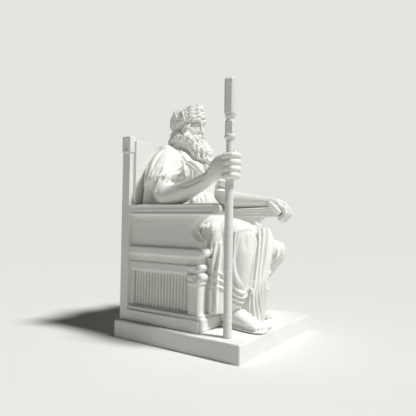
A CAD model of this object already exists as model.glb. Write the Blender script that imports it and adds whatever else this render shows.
import math

import bmesh
import bpy
import numpy as np
from mathutils import Matrix, Vector


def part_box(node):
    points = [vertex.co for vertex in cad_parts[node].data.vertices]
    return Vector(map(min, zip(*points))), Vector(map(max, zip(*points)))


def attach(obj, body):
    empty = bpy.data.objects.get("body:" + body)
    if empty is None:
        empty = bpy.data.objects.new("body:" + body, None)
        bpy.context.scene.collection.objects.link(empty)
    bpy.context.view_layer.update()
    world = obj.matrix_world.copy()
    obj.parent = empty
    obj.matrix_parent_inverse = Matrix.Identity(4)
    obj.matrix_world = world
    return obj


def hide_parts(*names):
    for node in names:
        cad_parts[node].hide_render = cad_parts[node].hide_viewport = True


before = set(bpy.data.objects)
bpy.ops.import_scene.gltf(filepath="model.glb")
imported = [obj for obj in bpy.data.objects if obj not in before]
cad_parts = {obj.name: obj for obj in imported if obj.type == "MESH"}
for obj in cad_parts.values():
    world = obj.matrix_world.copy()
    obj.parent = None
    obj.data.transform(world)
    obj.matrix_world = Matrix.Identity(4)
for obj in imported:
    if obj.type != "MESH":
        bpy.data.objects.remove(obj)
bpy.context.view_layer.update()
mm = 0.001
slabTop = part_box("base")[1][2]
print("frame loaded")


# small helpers that every piece uses

def deselectAll():
    if bpy.context.mode != "OBJECT":
        bpy.ops.object.mode_set(mode="OBJECT")
    bpy.ops.object.select_all(action="DESELECT")


def makeActive(piece):
    deselectAll()
    piece.select_set(True)
    bpy.context.view_layer.objects.active = piece


def applyModifier(piece, kind, **values):
    makeActive(piece)
    bpy.ops.object.modifier_add(type=kind)
    modifier = piece.modifiers[-1]
    for name, value in values.items():
        setattr(modifier, name, value)
    bpy.ops.object.modifier_apply(modifier=modifier.name)


def joinPieces(pieces, name):
    deselectAll()
    for piece in pieces:
        piece.select_set(True)
    bpy.context.view_layer.objects.active = pieces[0]
    bpy.ops.object.join()
    joined = bpy.context.view_layer.objects.active
    joined.name = name
    bpy.ops.object.transform_apply(location=True, rotation=True, scale=True)
    return joined


def triangleCount(piece):
    return sum(len(face.vertices) - 2 for face in piece.data.polygons)


def smoothSkin(piece, rounds):
    applyModifier(piece, "SMOOTH", factor=0.5, iterations=rounds)


def readPoints(piece):
    points = np.empty(len(piece.data.vertices) * 3)
    piece.data.vertices.foreach_get("co", points)
    return points.reshape(-1, 3)


def writePoints(piece, points):
    piece.data.vertices.foreach_set("co", points.ravel())
    piece.data.update()


# camera and stage

cameraSettings = {
    "eye": (-0.30266, -0.20035, 0.09275),  # metres from the middle of the slab's underside
    "turn": 55.213,                        # degrees from +Y towards +X
    "tilt": 1.896,                         # degrees upwards
    "roll": 0.852,
    "lens": 37.14,                         # millimetres
    "film": 36,
    "nearest": 0.01,
}


def addCamera(settings):
    turn = math.radians(settings["turn"])
    tilt = math.radians(settings["tilt"])
    roll = math.radians(settings["roll"])
    ahead = Vector((math.sin(turn) * math.cos(tilt), math.cos(turn) * math.cos(tilt), math.sin(tilt)))
    right = Vector((math.cos(turn), -math.sin(turn), 0))
    up = right.cross(ahead)
    rolledRight = right * math.cos(roll) + up * math.sin(roll)
    rolledUp = up * math.cos(roll) - right * math.sin(roll)
    bpy.ops.object.camera_add()
    camera = bpy.context.object
    camera.name = "camera"
    camera.data.sensor_width = settings["film"]
    camera.data.lens = settings["lens"]
    camera.data.clip_start = settings["nearest"]
    matrix = Matrix((rolledRight, rolledUp, -ahead)).transposed().to_4x4()
    matrix.translation = Vector(settings["eye"])
    camera.matrix_world = matrix
    bpy.context.scene.camera = camera


stageSettings = {
    "floorSize": 6.0,
    "floorColour": (0.78, 0.78, 0.75, 1.0),
    "floorRoughness": 0.9,
    "skyColour": (0.90, 0.92, 0.80, 1.0),
    "skyStrength": 0.06,
    "backdropColour": (0.765, 0.78, 0.745, 1.0),
    "keyPlace": (0.12, -0.72, 1.25),
    "keySpread": 10.0,       # degrees, for the softness of its shadows
    "keyStrength": 3.7,
    "fillPlace": (-1.2, 0.1, 0.6),
    "fillSize": 1.4,
    "fillPower": 0.12,
    "aim": (0, 0, 0.1),      # both lights point here
}


def addLight(name, kind, place, aim, **values):
    bpy.ops.object.light_add(type=kind, location=place)
    light = bpy.context.object
    light.name = name
    for setting, value in values.items():
        setattr(light.data, setting, value)
    light.rotation_euler = (Vector(place) - Vector(aim)).to_track_quat("Z", "Y").to_euler()


def addStage(settings):
    deselectAll()
    bpy.ops.mesh.primitive_plane_add(size=settings["floorSize"])
    floor = bpy.context.object
    floor.name = "floor"
    material = bpy.data.materials.new("paleFloor")
    material.use_nodes = True
    shader = material.node_tree.nodes["Principled BSDF"]
    shader.inputs["Base Color"].default_value = settings["floorColour"]
    shader.inputs["Roughness"].default_value = settings["floorRoughness"]
    floor.data.materials.append(material)
    world = bpy.data.worlds.new("studio")
    world.use_nodes = True
    nodes, links = world.node_tree.nodes, world.node_tree.links
    nodes["Background"].inputs["Color"].default_value = settings["skyColour"]
    nodes["Background"].inputs["Strength"].default_value = settings["skyStrength"]
    backdrop = nodes.new("ShaderNodeBackground")
    backdrop.inputs["Color"].default_value = settings["backdropColour"]
    seen, either = nodes.new("ShaderNodeLightPath"), nodes.new("ShaderNodeMixShader")
    links.new(seen.outputs["Is Camera Ray"], either.inputs[0])
    links.new(nodes["Background"].outputs[0], either.inputs[1])
    links.new(backdrop.outputs[0], either.inputs[2])
    links.new(either.outputs[0], nodes["World Output"].inputs["Surface"])
    bpy.context.scene.world = world
    addLight("keyLight", "SUN", settings["keyPlace"], settings["aim"],
             angle=math.radians(settings["keySpread"]),
             energy=settings["keyStrength"])
    addLight("fillLight", "AREA", settings["fillPlace"], settings["aim"], size=settings["fillSize"],
             energy=settings["fillPower"])
    bpy.context.scene.view_settings.view_transform = "Standard"


deselectAll()
addCamera(cameraSettings)
addStage(stageSettings)
print("camera, floor and lights placed")


# printed plastic: level lines, slow changes of tone along them, and blotches that change the sheen

layerSettings = {
    "bandStretch": (6, 6, 620),
    "bandDetail": 2.0,
    "lineShare": 0.35,       # how much of the height is lines, against bands
    "blotchScale": 38.0,
    "blotchDetail": 4.0,
    "roughness": 0.5,
    "roughnessSpread": 0.14,
}


def newSocket(group, name, kind, inOut):
    group.interface.new_socket(name=name, in_out=inOut, socket_type=kind)


def addMath(group, operation, *values):
    node = group.nodes.new("ShaderNodeMath")
    node.operation = operation
    for socket, value in zip(node.inputs, values):
        if isinstance(value, (int, float)):
            socket.default_value = value
        else:
            group.links.new(value, socket)
    return node.outputs[0]


def addNoise(group, place, scale, detail):
    noise = group.nodes.new("ShaderNodeTexNoise")
    noise.inputs["Scale"].default_value = scale
    noise.inputs["Detail"].default_value = detail
    group.links.new(place, noise.inputs["Vector"])
    return noise.outputs[0]


def makeLayerGroup(settings):
    group = bpy.data.node_groups.new("printedLayers", "ShaderNodeTree")
    newSocket(group, "Base", "NodeSocketColor", "INPUT")
    newSocket(group, "Color", "NodeSocketColor", "OUTPUT")
    for name in ("Line Height", "Band", "Depth"):
        newSocket(group, name, "NodeSocketFloat", "INPUT")
    for name in ("Roughness", "Height"):
        newSocket(group, name, "NodeSocketFloat", "OUTPUT")
    nodes, links = group.nodes, group.links
    enter = nodes.new("NodeGroupInput")
    leave = nodes.new("NodeGroupOutput")
    place = nodes.new("ShaderNodeTexCoord").outputs["Object"]
    split = nodes.new("ShaderNodeSeparateXYZ")
    links.new(place, split.inputs[0])

    # one line of plastic for each step in height
    level = addMath(group, "DIVIDE", split.outputs["Z"], enter.outputs["Line Height"])
    wave = addMath(group, "SINE", addMath(group, "MULTIPLY", level, 2 * math.pi))

    # slower bands, a few lines high, that run round the piece
    stretch = nodes.new("ShaderNodeMapping")
    stretch.inputs["Scale"].default_value = settings["bandStretch"]
    links.new(place, stretch.inputs["Vector"])
    bands = addNoise(group, stretch.outputs[0], 1.0, settings["bandDetail"])
    heights = addMath(group, "MULTIPLY_ADD", wave, settings["lineShare"], bands)
    links.new(addMath(group, "MULTIPLY", heights, enter.outputs["Depth"]), leave.inputs["Height"])

    # colour: a little darker or lighter from band to band and blotch to blotch
    blotch = addNoise(group, place, settings["blotchScale"], settings["blotchDetail"])
    centred = addMath(group, "SUBTRACT", addMath(group, "ADD", bands, blotch), 1.0)
    tone = addMath(group, "MULTIPLY_ADD", centred, enter.outputs["Band"], 1.0)
    shade = nodes.new("ShaderNodeVectorMath")
    shade.operation = "SCALE"
    links.new(enter.outputs["Base"], shade.inputs[0])
    links.new(tone, shade.inputs["Scale"])
    links.new(shade.outputs[0], leave.inputs["Color"])

    # the sheen changes with the blotches
    sheen = addMath(group, "MULTIPLY_ADD", blotch, settings["roughnessSpread"], settings["roughness"])
    links.new(sheen, leave.inputs["Roughness"])
    return group


layerGroup = makeLayerGroup(layerSettings)


def makePlastic(name, settings):
    material = bpy.data.materials.new(name)
    material.use_nodes = True
    nodes, links = material.node_tree.nodes, material.node_tree.links
    shader = nodes["Principled BSDF"]
    layers = nodes.new("ShaderNodeGroup")
    layers.node_tree = layerGroup
    layers.inputs["Base"].default_value = settings["colour"]
    layers.inputs["Line Height"].default_value = settings["lineHeight"]
    layers.inputs["Band"].default_value = settings["band"]
    layers.inputs["Depth"].default_value = settings["depth"]
    bump = nodes.new("ShaderNodeBump")
    bump.inputs["Strength"].default_value = settings["bump"]
    bump.inputs["Distance"].default_value = settings["bumpDistance"]
    links.new(layers.outputs["Color"], shader.inputs["Base Color"])
    links.new(layers.outputs["Roughness"], shader.inputs["Roughness"])
    links.new(layers.outputs["Height"], bump.inputs["Height"])
    links.new(bump.outputs["Normal"], shader.inputs["Normal"])
    shader.inputs["IOR"].default_value = plasticGloss["refraction"]
    shader.inputs["Specular IOR Level"].default_value = plasticGloss["shine"]
    return material


plasticGloss = {"refraction": 1.46, "shine": 0.35}
plasticSettings = {
    "slabPlastic": {"colour": (0.82, 0.82, 0.795, 1), "lineHeight": 0.00056, "band": 0.10, "depth": 0.5,
                    "bump": 0.35, "bumpDistance": 0.0004},
    "thronePlastic": {"colour": (0.82, 0.82, 0.79, 1), "lineHeight": 0.00056, "band": 0.07, "depth": 0.4,
                      "bump": 0.30, "bumpDistance": 0.0004},
    "figurePlastic": {"colour": (0.84, 0.838, 0.80, 1), "lineHeight": 0.00042, "band": 0.05, "depth": 0.3,
                      "bump": 0.20, "bumpDistance": 0.0003},
    "staffPlastic": {"colour": (0.78, 0.78, 0.76, 1), "lineHeight": 0.0013, "band": 0.14, "depth": 0.8,
                     "bump": 0.45, "bumpDistance": 0.0005},
}
plastics = {name: makePlastic(name, values) for name, values in plasticSettings.items()}


def dress(piece, material):
    piece.data.materials.clear()
    piece.data.materials.append(material)


print("plastic mixed")


# the throne's main sizes, in millimetres, as the solid has them

throneSettings = {
    "width": 109.0,
    "front": -20.45,         # from the middle of the slab
    "bodyInset": 4.0,
    "pilasterOut": 1.2,
    "corniceOut": 1.6,
    "wallOut": 1.0,
    "wallInset": 3.0,
    "stepTop": 25.2,
    "seatTop": 73.3,
    "corniceBottom": 66.5,
    "wallInner": 39.5,
    "armBottom": 97.9,
    "armTop": 106.1,
    "armFront": -38.25,
    "armInner": 38.5,
    "backFront": 46.95,
    "backTop": 160.0,
    "gap": 0.35,             # kept clear between the figure and its neighbours
}


# figure: masses first, then one skin over them, then folds, hair and features

figureSettings = {
    "bodyVoxel": 0.7,
    "bodySmoothing": 8,
    "voxel": 0.46,
    "smoothing": 2,
    "foldSoftness": 6,       # rounds that even out the directions in which folds are raised
    "hairSoftness": 8,
    "headSmoothing": 3,
    "headFrom": 126,
    "headReach": 26,
    "headDrop": 3.2,         # how far the head is set down on the neck
    "headBow": 15.0,         # degrees
    "headPivot": (34, 162),
    "triangles": 190000,
    "staffPlace": (-48.8, -41.8),
    "staffRadius": 3.0,
    "staffReach": 150,       # above the slab, the part of the staff that the hand can touch
    "shading": 50,           # degrees, the edges that stay sharp
}


def figurePoint(point):
    return Vector((point[0] * mm, point[1] * mm, slabTop + point[2] * mm))


def smoothRows(rows, spans):
    rows = np.array(rows, dtype=float)
    padded = np.vstack([2 * rows[0] - rows[1], rows, 2 * rows[-1] - rows[-2]])
    result = []
    for index in range(1, len(padded) - 2):
        before, start, end, after = padded[index - 1:index + 3]
        for step in range(spans):
            t = step / spans
            bend = 2 * before - 5 * start + 4 * end - after
            twist = 3 * start - before - 3 * end + after
            result.append(0.5 * (2 * start + (end - before) * t + bend * t ** 2 + twist * t ** 3))
    result.append(padded[-2])
    return np.array(result)


def addBlob(centre, radii, turn=(0, 0, 0), segments=24):
    bpy.ops.mesh.primitive_uv_sphere_add(
        segments=segments, ring_count=segments // 2 + 2, radius=mm, location=figurePoint(centre),
        rotation=[math.radians(angle) for angle in turn], scale=radii)
    return bpy.context.object


def addLimb(stations, wide=(1, 0, 0), spans=4, segments=20, flatEnds=False):
    if len(stations[0]) == 4:
        stations = [tuple(station) + (station[3],) for station in stations]
    rows = smoothRows(stations, spans)
    centres, sizes = rows[:, :3], np.maximum(rows[:, 3:], 0.2)
    along = np.gradient(centres, axis=0)
    along /= np.linalg.norm(along, axis=1)[:, None]
    ends = [] if flatEnds else [(0.45, 0.89), (0.8, 0.6), (0.97, 0.25)]
    sections = [(centres[0] - along[0] * min(sizes[0]) * out, sizes[0] * fit, along[0]) for out,
                fit in reversed(ends)]
    sections += list(zip(centres, sizes, along))
    sections += [(centres[-1] + along[-1] * min(sizes[-1]) * out, sizes[-1] * fit, along[-1]) for out,
                 fit in ends]
    bpy.ops.mesh.primitive_uv_sphere_add(segments=segments, ring_count=len(sections) + 1, radius=1)
    limb = bpy.context.object
    places = []
    for vertex in limb.data.vertices:
        level = math.acos(max(-1, min(1, vertex.co.z))) / math.pi * (len(sections) + 1)
        level = int(round(level))
        inside = 1 <= level <= len(sections)
        centre, size, tangent = sections[min(max(level, 1), len(sections)) - 1]
        across = np.array(wide, dtype=float)
        across -= tangent * across.dot(tangent)
        across /= np.linalg.norm(across)
        upward = np.cross(tangent, across)
        angle = math.atan2(vertex.co.y, vertex.co.x)
        offset = across * size[0] * math.cos(angle) + upward * size[1] * math.sin(angle)
        places.append(figurePoint(centre + offset * (1 if inside else 0)))
    for vertex, place in zip(limb.data.vertices, places):
        vertex.co = place
    return limb


def bothSides(rows, side):
    return [(side * row[0],) + tuple(row[1:]) for row in rows]


def addPair(rows, **values):
    return [addLimb(bothSides(rows, side), **values) for side in (-1, 1)]


def addBlobPair(centre, radii, **values):
    return [addBlob((side * centre[0],) + centre[1:], radii, **values) for side in (-1, 1)]


def addTrunk():
    pieces = [
        addLimb([(0, 25, 62, 25, 18), (0, 26, 76, 24, 18), (0, 27.5, 91, 21.5, 15.5), (0, 28, 107, 25, 16),
                 (0, 28.5, 120, 28, 16), (0, 30.5, 129.5, 27.5, 13), (0, 33, 138, 19, 10.5),
                 (0, 33.5, 145, 11, 9.5), (0, 32, 155, 9, 9)], segments=32),
        addBlob((0, 17, 93), (17, 9, 14)),
    ]
    pieces += [addBlob((side * 11, 17.5, 122), (12, 6.5, 9.5), (12, 0, side * 8)) for side in (-1, 1)]
    return pieces + addPair([(24, 36, 137, 9, 7), (34, 38, 123, 8, 5.5), (39.5, 38, 105, 8, 5),
                             (41.5, 38.5, 88, 8.5, 5)])


def addLegs():
    return [
        addLimb([(-13, 24, 71, 14, 12.5), (-18, 4, 73, 14, 12.5), (-22, -18, 71.5, 13, 12),
                 (-23, -33, 68.6, 11.6, 11.6)]),
        addLimb([(-23, -33, 68.6, 11.6, 11.4), (-22.5, -33.5, 54, 10.6, 11.6), (-22, -31, 38, 10, 11.4),
                 (-21.5, -28, 24, 9.4, 10.6), (-21, -26.5, 14, 7.4, 8)]),
        addLimb([(13, 24, 70, 14, 12.5), (19, 4, 70, 14, 12), (24.5, -16, 65, 12.8, 11.4),
                 (27.5, -36, 55.5, 11.6, 10.4)]),
        addLimb([(27.5, -38, 55.5, 11.2, 10.4), (23.6, -31, 44, 9.4, 9.8), (21.8, -23.5, 32, 8.4, 9.4),
                 (23, -18, 18, 8.4, 9), (22, -13, 8, 6.4, 7)]),
        addLimb([(0, 22, 70, 16, 10), (1, 0, 70, 16, 9), (2, -24, 66, 15, 8)]),
    ]


def addMantle():
    pieces = [
        addLimb([(0, 22, 73, 29, 9), (0, 2, 75, 33, 8.5), (-4, -16, 73.5, 32, 8), (-7, -32, 71, 22, 7.5)],
                segments=32),
        addLimb([(12, -4, 72, 20, 8), (12, -20, 69, 20, 8), (12, -36, 63, 18, 8)], segments=28),
        addLimb([(2, -30, 66, 22, 9), (2, -31, 50, 20, 8.5), (1, -29, 34, 19, 8.5), (0, -27, 18, 19, 10),
                 (0, -26, 2, 21, 12)], flatEnds=True, segments=32),
        addLimb([(7, -37, 74, 9.5, 7), (4, -40, 60, 9, 6.6), (-1, -40.5, 42, 9, 6.6),
                 (-5.5, -39.5, 26, 10, 7.4), (-7.5, -38, 2, 11.5, 9)], flatEnds=True, segments=24),
        addLimb([(2, -10, 64, 34, 11), (2, -14, 48, 33, 10), (2, -15, 30, 30, 10), (2, -15, 2, 26, 11)],
                flatEnds=True, segments=32),
        addLimb([(26, -36, 57, 12.2, 11), (23.2, -30.4, 47, 10.6, 11.2), (20.6, -24, 36, 9.2, 10.2),
                 (19.4, -19, 26, 8.4, 9.8)], flatEnds=True),
        addLimb([(31.4, -44.3, 61, 2.5), (30.6, -41.6, 53, 2.3), (26.6, -36, 43, 2.1), (23.6, -30, 33, 1.6)],
                segments=12),
        addLimb([(16, -28, 26, 12, 10), (15, -27, 12, 13, 11), (14, -26, 2, 14, 12)], flatEnds=True),
    ]
    return pieces + addPair([(30, -16, 76, 8, 8), (32, -20, 66, 7.8, 8.6), (32.6, -22, 50, 7.6, 8.2),
                             (33, -22.5, 30, 7.6, 7.4), (33.4, -23, 12, 7.8, 7.0)], flatEnds=True)


def addArms():
    shoulders = addPair([(20, 35.5, 135, 9, 10.5), (29.5, 34, 128, 11.5, 12.2), (37.5, 31, 118, 12.2, 12.8),
                         (43, 27, 108, 11.6, 12.4)], flatEnds=True)
    return shoulders + [
        addLimb([(-26, 34, 131, 10), (-35, 32, 121, 10), (-42, 26, 111, 9), (-45, 19, 100, 8.8),
                 (-45.2, 12, 99.5, 8.6), (-45.6, 2, 102, 8.0), (-46.2, -8, 105.2, 6.7), (-47, -18, 109, 5.5),
                 (-48, -26, 113, 4.6)]),
        addLimb([(26, 34, 131, 10), (35, 32, 121, 10), (42, 26, 111, 9), (45.5, 18, 102, 8.8),
                 (46, 8, 100.5, 8.0), (46, -6, 99.6, 6.6), (45.6, -19, 98.6, 5.2), (45.4, -28, 98, 4.4)]),
    ]


def addHands():
    # right hand: palm behind the staff, four fingers round its front, thumb along it
    pieces = [
        addLimb([(-49, -27, 113.5, 3.4, 5.2), (-52, -34, 117, 3.6, 8.0), (-53.4, -40, 119, 3.2, 8.6)]),
        addBlob((-47, -36.6, 117.5), (4.6, 3.4, 8.0)),
        addLimb([(-47, -34, 121, 3.0), (-44.0, -38.5, 126, 2.6), (-45.5, -43.5, 128.2, 2.2)], segments=14),
    ]
    for index, height in enumerate((125.6, 120.9, 116.2, 111.8)):
        reach = 6.6 if index < 3 else 6.0
        pieces.append(addLimb([(-54.2, -41.5, height - 0.4, 2.5), (-52.8, -46.4, height, 2.5),
                               (-48.6, -41.8 - reach, height, 2.35), (-44.6, -45.6, height, 2.3),
                               (-43.6, -41.4, height, 2.2)], wide=(0, 0, 1), segments=14))
        pieces.append(addBlob((-53.4, -46.2, height), (2.5, 2.4, 2.45), segments=12))
    # left hand: laid over the end of the arm
    pieces += [
        addLimb([(45.4, -28, 98, 4.6, 4.2), (45.2, -34, 97.2, 6.4, 3.8), (45, -39, 94.8, 6.8, 3.6)]),
        addLimb([(41, -29, 96.4, 2.8), (37.4, -34.5, 93, 2.4), (37.2, -39, 89, 2.1)], segments=14),
    ]
    for across, drop in zip((39.6, 43.0, 46.4, 49.6), (82.6, 81.2, 81.6, 83.4)):
        finger = [(across, -38, 94.4, 2.4), (across, -42.6, 91.2, 2.3), (across, -43.4, 87, 2.15),
                  (across, -40.2, drop, 1.95), (across, -38.4, drop + 0.6, 1.7)]
        pieces.append(addLimb(finger, segments=14))
        pieces.append(addBlob((across, -42.6, 92.2), (2.3, 2.3, 2.3), segments=12))
    return pieces


def addFoot(heel, toe, outward):
    heel, toe = np.array(heel, dtype=float), np.array(toe, dtype=float)
    line = toe - heel

    def at(share, aside, height):
        return (heel[0] + line[0] * share + outward * aside, heel[1] + line[1] * share, height)

    pieces = [
        addLimb([at(0.08, 0, 7.5) + (5.2, 5.4), at(0.3, 0, 8.6) + (5.8, 6.6),
                 at(0.55, 0.3, 6.4) + (6.9, 4.8), at(0.8, 0.6, 4.6) + (7.8, 3.0)]),
        addLimb([at(0.0, 0, 1.2) + (5.6, 1.3), at(0.35, 0.2, 1.2) + (6.6, 1.3),
                 at(0.75, 0.8, 1.2) + (9.0, 1.3), at(0.95, 0.0, 1.2) + (7.2, 1.3)]),
    ]
    toes = zip((1.0, 0.985, 0.955, 0.92, 0.875), (2.7, 2.0, 1.9, 1.8, 1.7), (-4.6, -0.9, 2.2, 5.0, 7.4))
    for length, radius, place in toes:
        pieces.append(addLimb([at(length - 0.24, place * 0.92, 4.6) + (radius,),
                               at(length - 0.1, place, 4.4) + (radius,),
                               at(length - 0.045, place, 3.7) + (radius * 0.85,)], segments=12))
    return pieces


def addHead():
    pieces = [
        addBlob((0, 34.5, 170.5), (11.6, 13.8, 12.6)),
        addLimb([(0, 27.5, 157, 7.4, 7.4), (0, 27, 162, 8.8, 8.6), (0, 28.2, 168, 9.6, 8.4),
                 (0, 29.4, 172, 9.8, 8.0), (0, 30.4, 177, 9.8, 9.2)]),
        addLimb([(0, 20.4, 174.4, 1.9, 1.3), (0, 19.4, 171.2, 1.3, 1.5), (0, 17.8, 168.2, 1.5, 1.6),
                 (0, 16.2, 165.4, 2.0, 1.8)], segments=14),
        addBlob((0, 18.2, 158.6), (2.9, 1.6, 1.2), segments=14),
        addBlob((0, 18.4, 160.9), (2.7, 1.2, 0.8), segments=14),
    ]
    # wings of the nose, brows, eyes with their lids, and cheeks
    pieces += addBlobPair((1.9, 18.0, 165.0), (1.3, 1.6, 1.1), segments=12)
    pieces += addPair([(1.0, 20.0, 174.0, 1.2), (4.4, 19.9, 175.2, 1.5), (8.2, 22.8, 173.6, 1.2)],
                      segments=12)
    pieces += addBlobPair((4.5, 22.9, 170.4), (2.5, 2.3, 2.0), segments=18)
    pieces += addPair([(2.1, 21.3, 170.2, 0.6), (3.4, 20.6, 171.7, 0.75), (5.4, 20.7, 171.8, 0.75),
                       (7.1, 22.4, 170.2, 0.6)], segments=10)
    pieces += addPair([(2.2, 21.4, 169.9, 0.5), (4.4, 20.7, 168.7, 0.6), (6.9, 22.3, 169.8, 0.5)],
                      segments=10)
    pieces += addBlobPair((5.2, 23.6, 164.8), (4.6, 3.0, 4.6), segments=18)
    # moustache
    pieces += addPair([(0.6, 16.8, 162.4, 1.4), (3.6, 16.8, 161.2, 1.7), (6.8, 18.4, 158.2, 1.5),
                       (8.8, 20.0, 154.6, 0.8)], segments=14)
    return pieces + addPair([(0.8, 16.6, 161.2, 0.9), (3.2, 16.2, 159.4, 1.2), (5.8, 17.0, 156.2, 1.1),
                             (7.2, 17.8, 153.0, 0.6)], segments=12)


def addBeard():
    pieces = [addLimb([(0, 27.5, 152, 9.4, 7.4), (0, 24.2, 147, 10.2, 8.2), (0, 20.2, 140.5, 9.8, 8.2),
                       (0, 17.2, 134, 7.7, 6.9), (0, 15.4, 129.5, 4.6, 4.6)])]
    # cheeks, then curled tips at the front and below
    pieces += addPair([(10.2, 27.5, 157.5, 1.8, 3.2), (10.4, 25.6, 151.5, 2.6, 4.4),
                       (8.8, 21.4, 144.5, 3.0, 4.4), (5.6, 17.4, 136.5, 2.6, 3.6)], segments=16)
    tips = ((2.2, 9.6, 139.6), (5.6, 11.4, 140.6), (8.2, 14.6, 141.4), (2.0, 9.2, 133.8), (5.2, 10.8, 134.8),
            (7.8, 14.4, 135.4), (2.0, 11.0, 128.6), (4.8, 13.4, 129.6), (9.4, 18.4, 138.8))
    hook = ((-0.9, 1.2, 3.0, 1.0), (1.0, 0.3, 1.4, 1.4), (1.2, 0, -0.8, 1.45), (-0.5, 0, -1.7, 1.3),
            (-1.1, 0.2, -0.4, 0.9))
    for across, forward, height in tips:
        curl = [(across + x, forward + y, height + z, radius) for x, y, z, radius in hook]
        pieces += addPair(curl, wide=(0, 1, 0), spans=3, segments=12)
        pieces += addBlobPair((across, forward + 1.8, height + 0.4), (1.9, 1.6, 2.2), segments=12)
    return pieces


def roundHead(turn, reach, height):
    angle = math.radians(turn)
    return (reach * 0.93 * math.sin(angle), 35 - reach * 1.05 * math.cos(angle), height)


def addHair():
    pieces = [addBlob((0, 37.2, 169.8), (12.8, 13.6, 13.4))]
    # four thick waves that leave the parting, rise over the brow and fall over the temple
    for index in range(4):
        lift, back = 3.3 * index, 1.5 * index
        pieces += addPair([roundHead(2 + 3 * index, 12.0 - back, 177.0 + lift) + (1.2,),
                           roundHead(15 + 2 * index, 13.9 - back, 178.8 + 0.85 * lift) + (1.9,),
                           roundHead(31 + 2 * index, 13.4 - back, 176.6 + lift) + (1.75,),
                           roundHead(48 + 2 * index, 14.0 - 0.9 * back, 176.2 + 0.85 * lift) + (1.9,),
                           roundHead(66 + 2 * index, 13.2 - 0.6 * back, 171.6 + lift) + (1.75,),
                           roundHead(86, 13.2 - 0.3 * back, 169.6 + 0.95 * lift) + (1.8,),
                           roundHead(104, 12.8 - 0.2 * back, 165.6 + lift) + (1.3,)],
                          wide=(1, 1, 0), segments=14)
    # loose curls that stand over the parting
    for turn, height in ((10, 185.5), (38, 184.8)):
        pieces += addPair([roundHead(turn - 12, 8.4, height - 3.0) + (1.2,),
                           roundHead(turn - 4, 10.0, height - 0.6) + (1.9,),
                           roundHead(turn + 10, 8.8, height + 0.4) + (1.9,),
                           roundHead(turn + 22, 6.0, height - 0.4) + (1.3,)], wide=(0, 1, 0), segments=12)
    # short locks before the ear
    for index in range(2):
        back = 2.8 * index
        pieces += addPair([(10.2 + 0.4 * index, 24.4 + 2.6 * index, 169.0, 1.1),
                           (11.6, 24.6 + back, 165.6, 1.5),
                           (11.4, 26.6 + back, 162.0, 1.4), (11.8, 26.4 + back, 158.6, 1.0)],
                          wide=(0, 1, 0), segments=12)
    return pieces


def addNape():
    # two rolled locks round the nape, the fill of the neck below them, and a curl below each ear
    half = [(12.6, 28.5, 153.0, 1.8), (13.6, 33, 152.6, 2.6), (12.0, 40, 151.2, 3.1),
            (7.0, 45.5, 149.6, 3.3)]
    upper = [(11.4, 35, 157, 2.4), (8, 43, 155.6, 3.0)]
    pieces = [addLimb(bothSides(half, -1) + [(0, 47.2, 149.0, 3.4)] + half[::-1], wide=(0, 0, 1)),
              addLimb(bothSides(upper, -1) + [(0, 46, 155, 3.2)] + upper[::-1], wide=(0, 0, 1))]
    pieces += addPair([(12.2, 25.4, 155.6, 1.3), (14.2, 26.0, 152.8, 1.9), (14.2, 29.0, 149.8, 2.0),
                       (12.4, 27.4, 148.2, 1.4)], wide=(0, 1, 0), segments=12)
    for centre, radii in (((9.6, 33.0, 152.0), (4.6, 5.4, 6.0)), ((8.4, 29.0, 149.0), (4.4, 5.6, 6.4)),
                          ((8.0, 36.5, 147.4), (5.4, 5.6, 5.0))):
        pieces += addBlobPair(centre, radii)
    return pieces


def addLeaf(base, tip, outward, width):
    base, tip, outward = Vector(base), Vector(tip), Vector(outward)
    bow = outward.normalized() * 0.5
    rows = [tuple(base) + (0.6, 0.5), tuple(base.lerp(tip, 0.3) + bow) + (width * 0.92, 0.85),
            tuple(base.lerp(tip, 0.65) + bow) + (width * 0.9, 0.8), tuple(tip) + (0.4, 0.4)]
    return addLimb(rows, wide=(tip - base).cross(outward), spans=4, segments=14)


def addWreath():
    pieces = []
    for side in (-1, 1):
        # the stalk, then leaves in pairs that point forward along it
        stalk = [roundHead(turn, 13.4, 181 - 0.08 * turn) + (0.9,) for turn in (80, 105, 130, 155, 178)]
        pieces.append(addLimb(bothSides(stalk, side), wide=(0, 0, 1), segments=10))
        for index in range(6):
            turn = 110 + 13.5 * index
            level = 181 - 0.08 * turn
            base = roundHead(turn, 13.0, level - 1)
            for rise in (2.6, -3.0):
                tip = roundHead(turn - 22, 13.6, level + rise)
                outward = (base[0] + tip[0], base[1] + tip[1] - 70, 0)
                ends = bothSides([base, tip, outward], side)
                pieces.append(addLeaf(ends[0], ends[1], ends[2], 1.9))
        # two that stand up behind the ear
        pieces.append(addLeaf((side * 12.6, 37.0, 170.0), (side * 13.2, 42.6, 178.4), (side, 0.3, 0), 2.0))
        pieces.append(addLeaf((side * 13.0, 28.6, 170.6), (side * 12.8, 34.0, 179.6), (side, 0.2, 0), 2.1))
    return pieces


# folds: each is a path over the skin, with a width and a height in millimetres, raised or sunk

def fold(points, width, height):
    return {"points": points, "width": width, "height": height}


def mirrored(points, side):
    return [(side * x, y, z) for x, y, z in points]


def onHead(points, side=1):
    # where a point of the upright head lies once the head is set down and bowed
    pivotY, pivotZ = figureSettings["headPivot"]
    angle = math.radians(figureSettings["headBow"])
    bowed = []
    for x, y, z in points:
        forward, up = y - pivotY, z - figureSettings["headDrop"] - pivotZ
        bowed.append((side * x, pivotY + forward * math.cos(angle) - up * math.sin(angle),
                      pivotZ + forward * math.sin(angle) + up * math.cos(angle)))
    return bowed


def onBothSides(rows):
    return [fold(mirrored(points, side), width, height) for side in (-1, 1) for points, width,
            height in rows]


def shifted(points, across, forward, up):
    return [(x + across, y + forward, z + up) for x, y, z in points]


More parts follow.
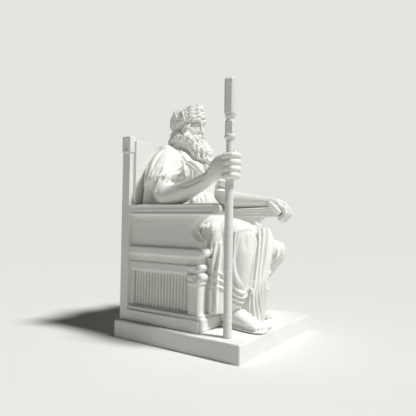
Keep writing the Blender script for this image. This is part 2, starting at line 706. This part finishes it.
def tunicFolds():
    border = [(9, 43, 145.5), (16, 30, 139.5), (19, 20.5, 132.5), (15, 12.5, 126), (8, 10, 121.5),
              (0, 9.5, 119.5)]
    rows = [(border, 0.95, 1.6), (shifted(border, 1.6, -0.6, -3.2), 0.9, 1.4),
            (shifted(border, 0.8, -0.3, -1.6), 0.7, -0.7)]
    for index in range(8):
        share = index / 7
        start = (24 - 22 * share, 19 - 9.5 * share, 127 - 9.5 * share)
        middle = (22.5 - 20.5 * share, 15.5 - 5 * share, 113 - 4 * share)
        finish = (18 - 16 * share, 12 - 2 * share, 93)
        rows.append(([start, middle, finish], 1.25, 1.5 - 0.35 * (index % 2)))
    # the pull from the armpit over the breast to the sleeve
    for index in range(3):
        drop = 3.4 * index
        rows.append(([(20 - index, 19 - index, 129 - 1.4 * drop), (27, 20.5 - index, 123.5 - drop),
                      (35, 18.5, 120.5 - drop), (41, 17.5, 119 - 1.2 * drop)], 1.5, 1.3))
    # sleeve: a band over the shoulder, deep slanting folds low on its outside, open at the front
    band = [(33, 31, 139), (41, 32, 134), (47, 32, 128), (52, 31, 120), (53, 32, 111)]
    rows += [(band, 1.0, 1.3), (shifted(band, 0, -2.2, 0), 0.9, -0.8)]
    for line in ([(47, 22, 122), (51, 23, 116), (53, 24, 111), (52, 28, 106)],
                 [(47, 17, 117), (51, 19, 112), (52, 21, 107), (54, 23, 103)]):
        rows += [(line, 1.2, -3.4), (shifted(line, 0, -1.6, 1.6), 1.0, 1.0)]
    rows += [
        ([(48, 25, 125), (50, 28, 120), (53, 28, 113), (49, 33, 108)], 1.2, 1.3),
        ([(44, 40, 126), (48, 36, 116), (46, 38, 104)], 1.3, 1.3),
        ([(38, 43, 130), (42, 42, 118), (42, 43, 104)], 1.3, 1.3),
        ([(26, 22, 120), (33, 18, 118.5), (41, 16, 117), (47, 17, 110)], 1.0, 1.8),
        ([(41, 15, 111.5), (36, 15.5, 113), (30, 18, 112.5)], 2.6, -5.5),
        ([(22, 23, 133), (22, 18, 124), (21, 18, 114)], 1.2, 1.5),
        ([(18, 33, 142), (27, 32, 139), (36, 30, 131)], 0.8, 0.5),
    ]
    # the cloth that hangs behind the arm
    for index in range(5):
        rows.append(([(25 + 3.4 * index, 45, 139 - 5 * index), (34 + 2.4 * index, 46, 114),
                      (36 + 2.6 * index, 46, 90)], 1.5, 1.5))
    folds = onBothSides(rows)
    # girdle and the cloth bloused over it
    for height in (91.0, 94.2):
        folds.append(fold([(-21, 22, height), (-13, 12, height - 1), (0, 9, height - 2),
                           (13, 12, height - 1), (21, 22, height)], 0.9, 1.0))
    for index in range(9):
        across = -16 + 4 * index
        folds.append(fold([(across, 10 + abs(across) * 0.25, 104),
                           (across * 1.05, 9 + abs(across) * 0.25, 97)], 1.2, 1.0))
        folds.append(fold([(across, 8, 88), (across * 1.1, 4, 84)], 1.3, 1.0))
    return folds


def lapFolds():
    rows = [([(39, -29, 62), (40, -26, 52), (40, -23, 41), (40, -22, 30)], 1.5, -2.0)]
    # cloth that falls beside the shin, and shallow folds along the thigh
    for index in range(4):
        back = 4.4 * index
        rows.append(([(38.5, -29 + back, 64), (39.8, -28 + back, 50), (40.5, -27 + back, 30),
                      (41, -27 + back, 13)], 1.3, 2.2))
        rows.append(([(3 + 5.5 * index, 20, 84), (5 + 5 * index, 2, 84.5), (5 + 4.2 * index, -22, 83)],
                     1.8, 1.3))
    folds = onBothSides(rows)
    # from the top of each knee, back and down over the outside of the thigh
    for side, knee, level, first, count in ((-1, -36, 0, 0, 8), (1, -41, 9, 3.5, 4)):
        for index in range(count):
            share = (first + index) / 7
            lift = level * (share - 1)
            path = [(20 + 6 * share, knee + 8 + 13 * share, 83.2 - 0.5 * share + lift),
                    (30 + 4 * share, knee + 9 + 18 * share, 80 + lift),
                    (37 + share, knee + 12 + 20 * share, 73 + lift),
                    (39.5, knee + 15 + 19 * share, 65 - 2 * share + lift)]
            folds.append(fold(mirrored(path, side), 1.6, 1.9 - 0.5 * (index % 2)))
    # roll of cloth across the waist
    return folds + [
        fold([(-30, 14, 84), (-16, 4, 87), (0, 2, 87), (16, 4, 86), (30, 14, 84)], 2.4, 2.2),
        fold([(-30, 9, 84), (-14, -1, 85), (2, -4, 85), (18, -1, 85), (31, 8, 84)], 1.6, 1.4),
    ]


def bundleFolds():
    paths = [
        [(-13, -38, 79), (-15, -43, 68), (-18.5, -44, 52), (-18, -42, 36), (-19.5, -41.5, 24)],
        [(-8, -38, 79), (-10, -41, 70), (-15, -43, 51), (-15, -42, 34), (-17.5, -41.5, 22), (-20, -43, 5)],
        [(-3, -40, 79), (-4, -42, 72), (-9.5, -44, 54), (-13, -44, 37), (-16.5, -44, 22), (-15, -46, 4)],
        [(1, -42, 78), (0, -43, 72), (-5.5, -45, 55), (-10.5, -46, 38), (-14.5, -46, 24), (-11, -46.5, 4)],
        [(5, -44, 77), (4, -45, 72), (-2, -47, 56), (-7.5, -47, 40), (-12, -47, 26), (-6.5, -47, 4)],
        [(9, -44, 76), (8, -45, 70), (1.5, -47, 57), (-4, -48, 43), (-8.5, -48, 28), (-2, -47, 4)],
        [(13, -44, 75), (11.5, -45, 69), (5.5, -47, 57), (0, -48, 44), (-4.5, -48, 29), (3, -46, 4)],
    ]
    folds = [fold(path, 1.15, 2.3 - 0.5 * (index % 2)) for index, path in enumerate(paths)]
    # between the feet and beside the left shin the tunic falls in narrow pleats
    for index in range(6):
        folds.append(fold([(3 + 3.2 * index, -46 + 1.2 * index, 30),
                           (6 + 3.4 * index, -44 + 1.2 * index, 17),
                           (7 + 3.8 * index, -43 + 1.2 * index, 3)], 1.2, 1.8))
    return folds


def hemFolds():
    folds = []
    for shift, height in ((0, 2.0), (2.6, 1.3)):
        edge = [(-33, -38 - 0.4 * shift, 72), (-33.4, -37, 59), (-32.4, -36, 49), (-31, -37, 40),
                (-29, -40, 32)]
        folds.append(fold(shifted(edge, shift, 0, 0), 0.9, height))
    folds += [
        fold([(-14, -43, 75), (-15.5, -44, 63), (-17.5, -43, 50), (-17, -42, 36), (-17, -43, 26)], 0.9, 1.9),
        fold([(-33, -38, 72.5), (-26, -42, 74.5), (-18, -43, 75), (-13, -42, 74.5)], 1.2, 1.3),
        fold([(-27, -42, 73), (-28, -43, 66), (-27, -42, 61)], 2.6, -0.8),
    ]
    edges = (
        [(-37, -22, 45), (-35, -29, 40), (-33, -35, 35), (-30, -38, 30), (-24, -41, 27), (-19.5, -41, 31)],
        [(-37, -21, 40), (-34, -29, 34), (-31, -35, 28), (-28, -38, 25), (-22, -41, 23), (-18, -42, 26)],
        [(-36, -20, 35), (-33, -28, 29), (-29, -34, 24), (-24, -38, 20), (-17, -41, 19)],
    )
    folds += [fold(edge, 0.95, 1.7) for edge in edges]
    folds.append(fold([(-34, -24, 30), (-29, -33, 21), (-22, -37, 16), (-18, -41, 12)], 1.2, 1.5))
    # left knee: straight folds that fall inwards from it, and a crease down its outside
    for index in range(4):
        folds.append(fold([(10 + 5.2 * index, -48, 62 - 0.8 * index),
                           (8.4 + 5.0 * index, -47.5 + 0.8 * index, 50),
                           (5.5 + 4.3 * index, -46 + 2.0 * index, 35)], 1.3, 1.7 - 0.4 * (index % 2)))
    return folds + [
        fold([(32, -47, 62), (32, -45, 53), (28, -39, 43), (24.6, -33, 33)], 1.0, 1.8),
        fold([(27, -47, 61), (23, -46.5, 55), (17, -46, 48), (9, -46.5, 42), (3, -47, 38)], 1.0, 1.7),
        fold([(5, -48, 37), (11, -47, 31.5), (18, -42, 30.5), (27, -33, 31)], 1.1, 1.5),
    ]


def onBothSidesOfHead(rows):
    return [fold(onHead(points, side), width, height) for side in (-1, 1) for points, width, height in rows]


def hairFolds():
    rows, headRows = [], []
    # combed strands from the crown down to the nape
    for index in range(13):
        angle = math.radians(36 + 11.6 * index)
        sine, cosine = math.sin(angle), math.cos(angle)
        headRows.append(([(3 * sine, 38 - 3 * cosine, 184), (9 * sine, 37 - 9.5 * cosine, 180.5),
                          (13 * sine, 37 - 13 * cosine, 171), (12.6 * sine, 37 - 12.6 * cosine, 158)],
                         0.9, 0.8))
    # fine lines along each wave of hair
    for index in range(4):
        lift, back = 3.3 * index, 1.5 * index
        for shift in (-0.9, 0.8):
            wave = [roundHead(4 + 3 * index, 14 - back, 177.4 + lift),
                    roundHead(15 + 2 * index, 16 - back, 178.8 + 0.85 * lift),
                    roundHead(31 + 2 * index, 15.4 - back, 176.6 + lift),
                    roundHead(48 + 2 * index, 16 - 0.9 * back, 176.2 + 0.85 * lift),
                    roundHead(66 + 2 * index, 15.2 - 0.6 * back, 171.6 + lift),
                    roundHead(86, 15.2, 169.6 + 0.95 * lift)]
            headRows.append((shifted(wave, 0, 0, shift), 0.5, -0.25))
    for index in range(3):
        headRows.append(([(1 + 0.6 * index, 16, 162.4 - index), (4 + 0.4 * index, 15.6, 160.6 - 1.2 * index),
                          (7.4 + 0.4 * index, 18, 156.6 - 1.2 * index)], 0.5, 0.4))
    # slanting turns of the rolled lock
    for index in range(9):
        turn = math.radians(74 + 12.5 * index)
        sine, cosine = math.sin(turn), math.cos(turn)
        rows.append(([(15.5 * sine, 32 - 17.5 * cosine, 155.4), (17 * sine, 31.4 - 19 * cosine, 151.5),
                      (15.5 * sine - 1.2, 31 - 17.5 * cosine, 147.6)], 0.7, -0.75))
    # wavy locks of the beard
    for index in range(10):
        turn = math.radians(6 + 11.5 * index)
        sine, cosine = math.sin(turn), math.cos(turn)
        sway = 0.9 * (-1) ** index
        lock = [(9.6 * sine, 27 - 8.6 * cosine, 150.5 + 0.9 * index),
                (10.8 * sine + sway, 25 - 9.4 * cosine, 147.6 + 0.75 * index),
                (10.8 * sine - 0.5 * sway, 22.8 - 9.4 * cosine, 144.4 + 0.6 * index),
                (9.8 * sine + 0.7 * sway, 20.4 - 9.0 * cosine, 141.2 + 0.5 * index),
                (8.4 * sine, 18.6 - 8.4 * cosine, 137.6)]
        rows += [(lock, 1.1, 1.25), (lock, 0.4, -0.3)]
    return onBothSides(rows) + onBothSidesOfHead(headRows)


def faceFolds():
    mouth = fold(onHead([(-3.2, 17.4, 160.1), (0, 16.4, 159.9), (3.2, 17.4, 160.1)]), 0.5, -0.7)
    return [mouth] + onBothSidesOfHead([
        ([(2.2, 20.6, 172.7), (4.6, 20.2, 173.2), (7.4, 22.0, 171.8)], 0.6, -0.7),
        ([(2.5, 20.6, 170.0), (4.5, 20.2, 170.0), (6.8, 22.0, 169.9)], 0.45, -0.35),
        ([(2.4, 18.6, 164.4), (3.0, 18.6, 165.8)], 0.45, -0.5),
        ([(3.4, 19.4, 165.4), (5.8, 19.4, 162.6), (8.6, 22, 160.4)], 0.8, -0.6),
    ])


def limbFolds():
    # forearms: a long shallow furrow, a tendon at the wrist, then gaps between fingers, and nails
    folds = [
        fold([(-51, 6, 104), (-51.5, -8, 106), (-50.5, -22, 111)], 1.6, -0.7),
        fold([(-50, -22, 112), (-52, -30, 117)], 0.8, 0.4),
        fold([(47, 4, 108), (48, -10, 106), (47, -26, 103)], 1.6, -0.6),
    ]
    for across in (41.3, 44.7, 48.0):
        folds.append(fold([(across, -37, 98), (across, -43, 95), (across, -46, 89), (across, -43, 82)],
                          0.75, -1.5))
    for across in (39.6, 43.0, 46.4, 49.6):
        folds.append(fold([(across - 1.2, -44.8, 89.6), (across + 1.2, -44.8, 89.6)], 0.4, -0.35))
    for height in (125.6, 120.9, 116.2, 111.8):
        folds.append(fold([(-50.6, -48.6, height - 1.3), (-50.4, -48.8, height + 1.3)], 0.4, -0.35))
    return folds


carveSettings = {
    "steps": 8,              # pieces of path from one point to the next
    "reach": 3,              # how far a fold is felt, in widths
    "ditch": 0.7,            # the hollow beside a ridge, as a share
    "endRise": 4,            # how fast a fold grows from its end
    "endHeight": 0.35,       # and the share that it starts with
}


def softNormals(mesh, rounds):
    normals = np.empty(len(mesh.vertices) * 3)
    mesh.vertex_normals.foreach_get("vector", normals)
    normals = normals.reshape(-1, 3)
    edges = np.empty(len(mesh.edges) * 2, dtype=np.int32)
    mesh.edges.foreach_get("vertices", edges)
    ends = np.concatenate([edges[0::2], edges[1::2]])
    others = np.concatenate([edges[1::2], edges[0::2]])
    for _ in range(rounds):
        for axis in range(3):
            normals[:, axis] += np.bincount(ends, weights=normals[others, axis], minlength=len(normals))
        normals /= np.maximum(np.linalg.norm(normals, axis=1), 1e-9)[:, None]
    return normals


def carve(piece, folds, rounds):
    settings = carveSettings
    points, normals = readPoints(piece), softNormals(piece.data, rounds)
    move = np.zeros(len(points))
    for entry in folds:
        width = entry["width"] * mm
        path = [figurePoint(point) for point in smoothRows(entry["points"], settings["steps"])]
        path = np.array([tuple(piece.closest_point_on_mesh(point)[1]) for point in path])
        reach = width * settings["reach"]
        low, high = path.min(axis=0) - reach, path.max(axis=0) + reach
        near = np.where(np.all((points > low) & (points < high), axis=1))[0]
        if len(near) == 0:
            continue
        distance, strength = np.full(len(near), np.inf), np.zeros(len(near))
        for start, end, share in zip(path[:-1], path[1:], np.linspace(0, 1, len(path))):
            span = end - start
            t = np.clip((points[near] - start).dot(span) / max(span.dot(span), 1e-12), 0, 1)
            apart = np.linalg.norm(points[near] - (start + t[:, None] * span), axis=1)
            closer = apart < distance
            distance[closer] = apart[closer]
            rise = settings["endRise"] * min(share, 1 - share) + settings["endHeight"]
            strength[closer] = min(rise, 1)
        scaled = (distance / width) ** 2
        move[near] += entry["height"] * mm * strength * (1 - settings["ditch"] * scaled) * np.exp(-scaled)
    writePoints(piece, points + normals * move[:, None])


def keepClear(piece, sizes):
    points = readPoints(piece)
    size = {name: value * mm for name, value in sizes.items()}
    gap, half, anyWidth = size["gap"], size["width"] / 2, 1
    blocks = [
        # half width inside and out, front, lowest and highest level, and the faces a point may leave by
        (0, half, size["front"], slabTop, size["stepTop"], "yz"),
        (0, half - size["bodyInset"] + size["pilasterOut"], size["front"] + size["bodyInset"], slabTop,
         size["corniceBottom"], "y"),
        (0, half, size["front"] - size["corniceOut"], size["corniceBottom"], size["seatTop"], "yz"),
        (0, anyWidth, size["backFront"], slabTop, size["backTop"], "y"),
        (size["wallInner"], half - size["wallInset"], size["front"] - size["wallOut"], slabTop,
         size["armBottom"], "xy"),
        (size["armInner"], half, size["armFront"], size["armBottom"], size["armTop"], "xyz"),
    ]
    for inner, outer, front, low, high, ways in blocks:
        across = np.abs(points[:, 0])
        inside = ((across > inner - gap) & (across < outer + gap) & (points[:, 1] > front - gap)
                  & (points[:, 2] > low - gap) & (points[:, 2] < high + gap))
        index = np.where(inside)[0]
        depths = {"x": across[index] - (inner - gap), "y": points[index, 1] - (front - gap),
                  "z": (high + gap) - points[index, 2]}
        table = np.array([depths[way] for way in ways])
        best = np.argmin(table, axis=0)
        for number, way in enumerate(ways):
            chosen = index[best == number]
            if way == "x":
                points[chosen, 0] = np.sign(points[chosen, 0]) * (inner - gap)
            elif way == "y":
                points[chosen, 1] = front - gap
            else:
                points[chosen, 2] = high + gap
    staff = np.array(figureSettings["staffPlace"]) * mm
    offset = points[:, :2] - staff
    length = np.linalg.norm(offset, axis=1)
    reach = figureSettings["staffRadius"] * mm + gap
    touching = (length < reach) & (points[:, 2] < slabTop + figureSettings["staffReach"] * mm)
    points[touching, :2] = staff + offset[touching] * (reach / np.maximum(length[touching], 1e-6))[:, None]
    points[:, 2] = np.maximum(points[:, 2], slabTop + gap)
    writePoints(piece, points)


def skinOver(piece, voxel, rounds):
    makeActive(piece)
    bpy.ops.object.mode_set(mode="EDIT")
    bpy.ops.mesh.select_all(action="SELECT")
    bpy.ops.mesh.remove_doubles(threshold=0.001 * mm)
    bpy.ops.mesh.normals_make_consistent(inside=False)
    bpy.ops.object.mode_set(mode="OBJECT")
    applyModifier(piece, "REMESH", mode="VOXEL", voxel_size=voxel * mm, adaptivity=0)
    smoothSkin(piece, rounds)


def finishSkin(piece, settings, plastic):
    applyModifier(piece, "DECIMATE", ratio=min(1, settings["triangles"] / triangleCount(piece)))
    makeActive(piece)
    bpy.ops.object.shade_smooth_by_angle(angle=math.radians(settings["shading"]))
    dress(piece, plastics[plastic])


def refineHead(piece, lowest, reach):
    # finer faces on the head and beard only, for the hair and features
    mesh = bmesh.new()
    mesh.from_mesh(piece.data)
    middle, bottom = figurePoint((0, 32, lowest)), figurePoint((0, 0, lowest)).z
    inside = {vert for vert in mesh.verts
              if vert.co.z > bottom and (vert.co.xy - middle.xy).length < reach * mm}
    edges = [edge for edge in mesh.edges if edge.verts[0] in inside and edge.verts[1] in inside]
    bmesh.ops.subdivide_edges(mesh, edges=edges, cuts=1, use_grid_fill=True)
    mesh.to_mesh(piece.data)
    mesh.free()
    piece.data.update()


def addFigure(settings):
    deselectAll()
    body = joinPieces(addTrunk() + addLegs() + addMantle() + addArms(), "clothedBody")
    skinOver(body, settings["bodyVoxel"], settings["bodySmoothing"])
    head = joinPieces(addHead() + addHair() + addWreath(), "head")
    pivot = figurePoint((0,) + settings["headPivot"])
    bpy.ops.transform.translate(value=(0, 0, -settings["headDrop"] * mm))
    # the operator turns the other way round than the angle reads
    bpy.ops.transform.rotate(value=-math.radians(settings["headBow"]), orient_axis="X", orient_type="GLOBAL",
                             center_override=pivot)
    bpy.ops.object.transform_apply(location=True, rotation=True, scale=True)
    feet = addFoot((-20.5, -20), (-21.5, -59.2), -1) + addFoot((22, -6), (22.5, -39), 1)
    figure = joinPieces([body, head] + addNape() + addBeard() + addHands() + feet, "seatedFigure")
    skinOver(figure, settings["voxel"], settings["smoothing"])
    carve(figure, tunicFolds() + lapFolds() + bundleFolds() + hemFolds(), settings["foldSoftness"])
    carve(figure, limbFolds(), settings["foldSoftness"])
    smoothSkin(figure, 1)
    refineHead(figure, settings["headFrom"], settings["headReach"])
    smoothSkin(figure, settings["headSmoothing"])
    carve(figure, hairFolds() + faceFolds(), settings["hairSoftness"])
    smoothSkin(figure, 1)
    keepClear(figure, throneSettings)
    print("figure carved, with", triangleCount(figure), "triangles")
    finishSkin(figure, settings, "figurePlastic")
    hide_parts("figure")
    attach(figure, "root")


addFigure(figureSettings)
print("figure made")


# throne and slab: copies of the solids, given the soft edges of a print and finer carving

printSettings = {
    "throne": {"voxel": 0.36, "smoothing": 1, "softness": 4, "triangles": 180000, "shading": 35,
               "plastic": "thronePlastic"},
    "base": {"voxel": 0.6, "smoothing": 2, "softness": 4, "triangles": 60000, "shading": 35,
             "plastic": "slabPlastic"},
}


def spiral(centre, radius, turns):
    points, steps = [], 9            # points to a turn
    for step in range(steps * turns + 1):
        angle = 2 * math.pi * step / steps
        reach = radius * (1 - 0.8 * step / (steps * turns))
        points.append((centre[0], centre[1] - reach * math.cos(angle),
                       centre[2] + reach * math.sin(angle)))
    return points


def throneFolds():
    rows = [([(54.5, -30, 88.7), (54.5, 10, 88.5), (54.5, 42, 88.7)], 0.9, 0.25)]
    # worn lines under the rear of the arm
    for level in (80.5, 82.2):
        rows.append(([(50.5, 22, level), (50.5, 36, level - 0.4), (50.5, 46, level)], 0.6, -0.35))
    # hollows between the reeds
    for index in range(19):
        along = 46.45 - 3.05 * index
        rows.append(([(47.6, along, 13.4), (47.6, along, 39.6)], 0.55, -0.8))
    # the two scrolls of each capital
    rows.append((spiral((53, -17.0, 38.7), 2.5, 2), 0.5, -0.55))
    rows.append((spiral((53, -17.0, 45.7), 1.9, 1), 0.5, -0.5))
    return onBothSides(rows)


def slabFolds():
    # a little swell and sag along the edges
    folds = []
    for side in (-1, 1):
        for index in range(6):
            along = -50 + 19 * index
            height = 0.16 * (-1) ** index
            folds.append(fold([(side * 60, along, 0), (side * 60, along + 12, 0)], 3.0, height))
            folds.append(fold([(along, -58, 0), (along + 12, -58, 0)], 3.0, -height))
    return folds


def addPrintedCopy(node, folds, settings):
    deselectAll()
    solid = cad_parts[node]
    piece = solid.copy()
    piece.data = solid.data.copy()
    piece.name = node + "Surface"
    bpy.context.scene.collection.objects.link(piece)
    low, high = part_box(node)
    makeActive(piece)
    bpy.ops.object.transform_apply(location=True, rotation=True, scale=True)
    skinOver(piece, settings["voxel"], settings["smoothing"])
    carve(piece, folds, settings["softness"])
    writePoints(piece, np.clip(readPoints(piece), low, high))
    finishSkin(piece, settings, settings["plastic"])
    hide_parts(node)
    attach(piece, "root")


addPrintedCopy("throne", throneFolds(), printSettings["throne"])
print("throne made")
addPrintedCopy("base", slabFolds(), printSettings["base"])
print("slab made")


# staff: a thin shaft, a ring, a square block and a long chamfered head

staffSettings = {
    "place": (-48.8, -41.8),
    "shaft": [(0.3, 3.0), (105, 3.0), (129, 2.55), (137.2, 2.7), (138.2, 3.0)],   # height, radius
    "ring": [(138.0, 3.44), (139.6, 4.0), (141.2, 3.44)],
    "block": (141.0, 150.6, 2.948, 0.5),        # from, to, half width, chamfer
    "neck": [(150.4, 2.9), (151.6, 2.7), (154.4, 3.9)],
    "head": (154.2, 181.4, 3.735, 1.5),
    "turn": 12.0,
    "voxel": 0.3,
    "smoothing": 1,
    "triangles": 40000,
    "shading": 40,
}


def addTurned(rows, place):
    return addLimb([tuple(place) + row for row in rows], spans=3, segments=28, flatEnds=True)


def addBar(sizes, place, turn):
    low, high, half, chamfer = sizes
    deselectAll()
    bpy.ops.mesh.primitive_cube_add(size=1, location=figurePoint((place[0], place[1], (low + high) / 2)))
    bar = bpy.context.object
    bar.scale = (2 * half * mm, 2 * half * mm, (high - low) * mm)
    bar.rotation_euler.z = math.radians(turn)
    bpy.ops.object.transform_apply(location=False, rotation=True, scale=True)
    applyModifier(bar, "BEVEL", width=chamfer * mm, segments=1)
    return bar


def addStaff(settings):
    place = settings["place"]
    pieces = [addTurned(settings[part], place) for part in ("shaft", "ring", "neck")]
    pieces += [addBar(settings[part], place, settings["turn"]) for part in ("block", "head")]
    staff = joinPieces(pieces, "staffSurface")
    skinOver(staff, settings["voxel"], settings["smoothing"])
    finishSkin(staff, settings, "staffPlastic")
    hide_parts("staff")
    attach(staff, "root")


addStaff(staffSettings)
print("staff made")


print("sizes written")
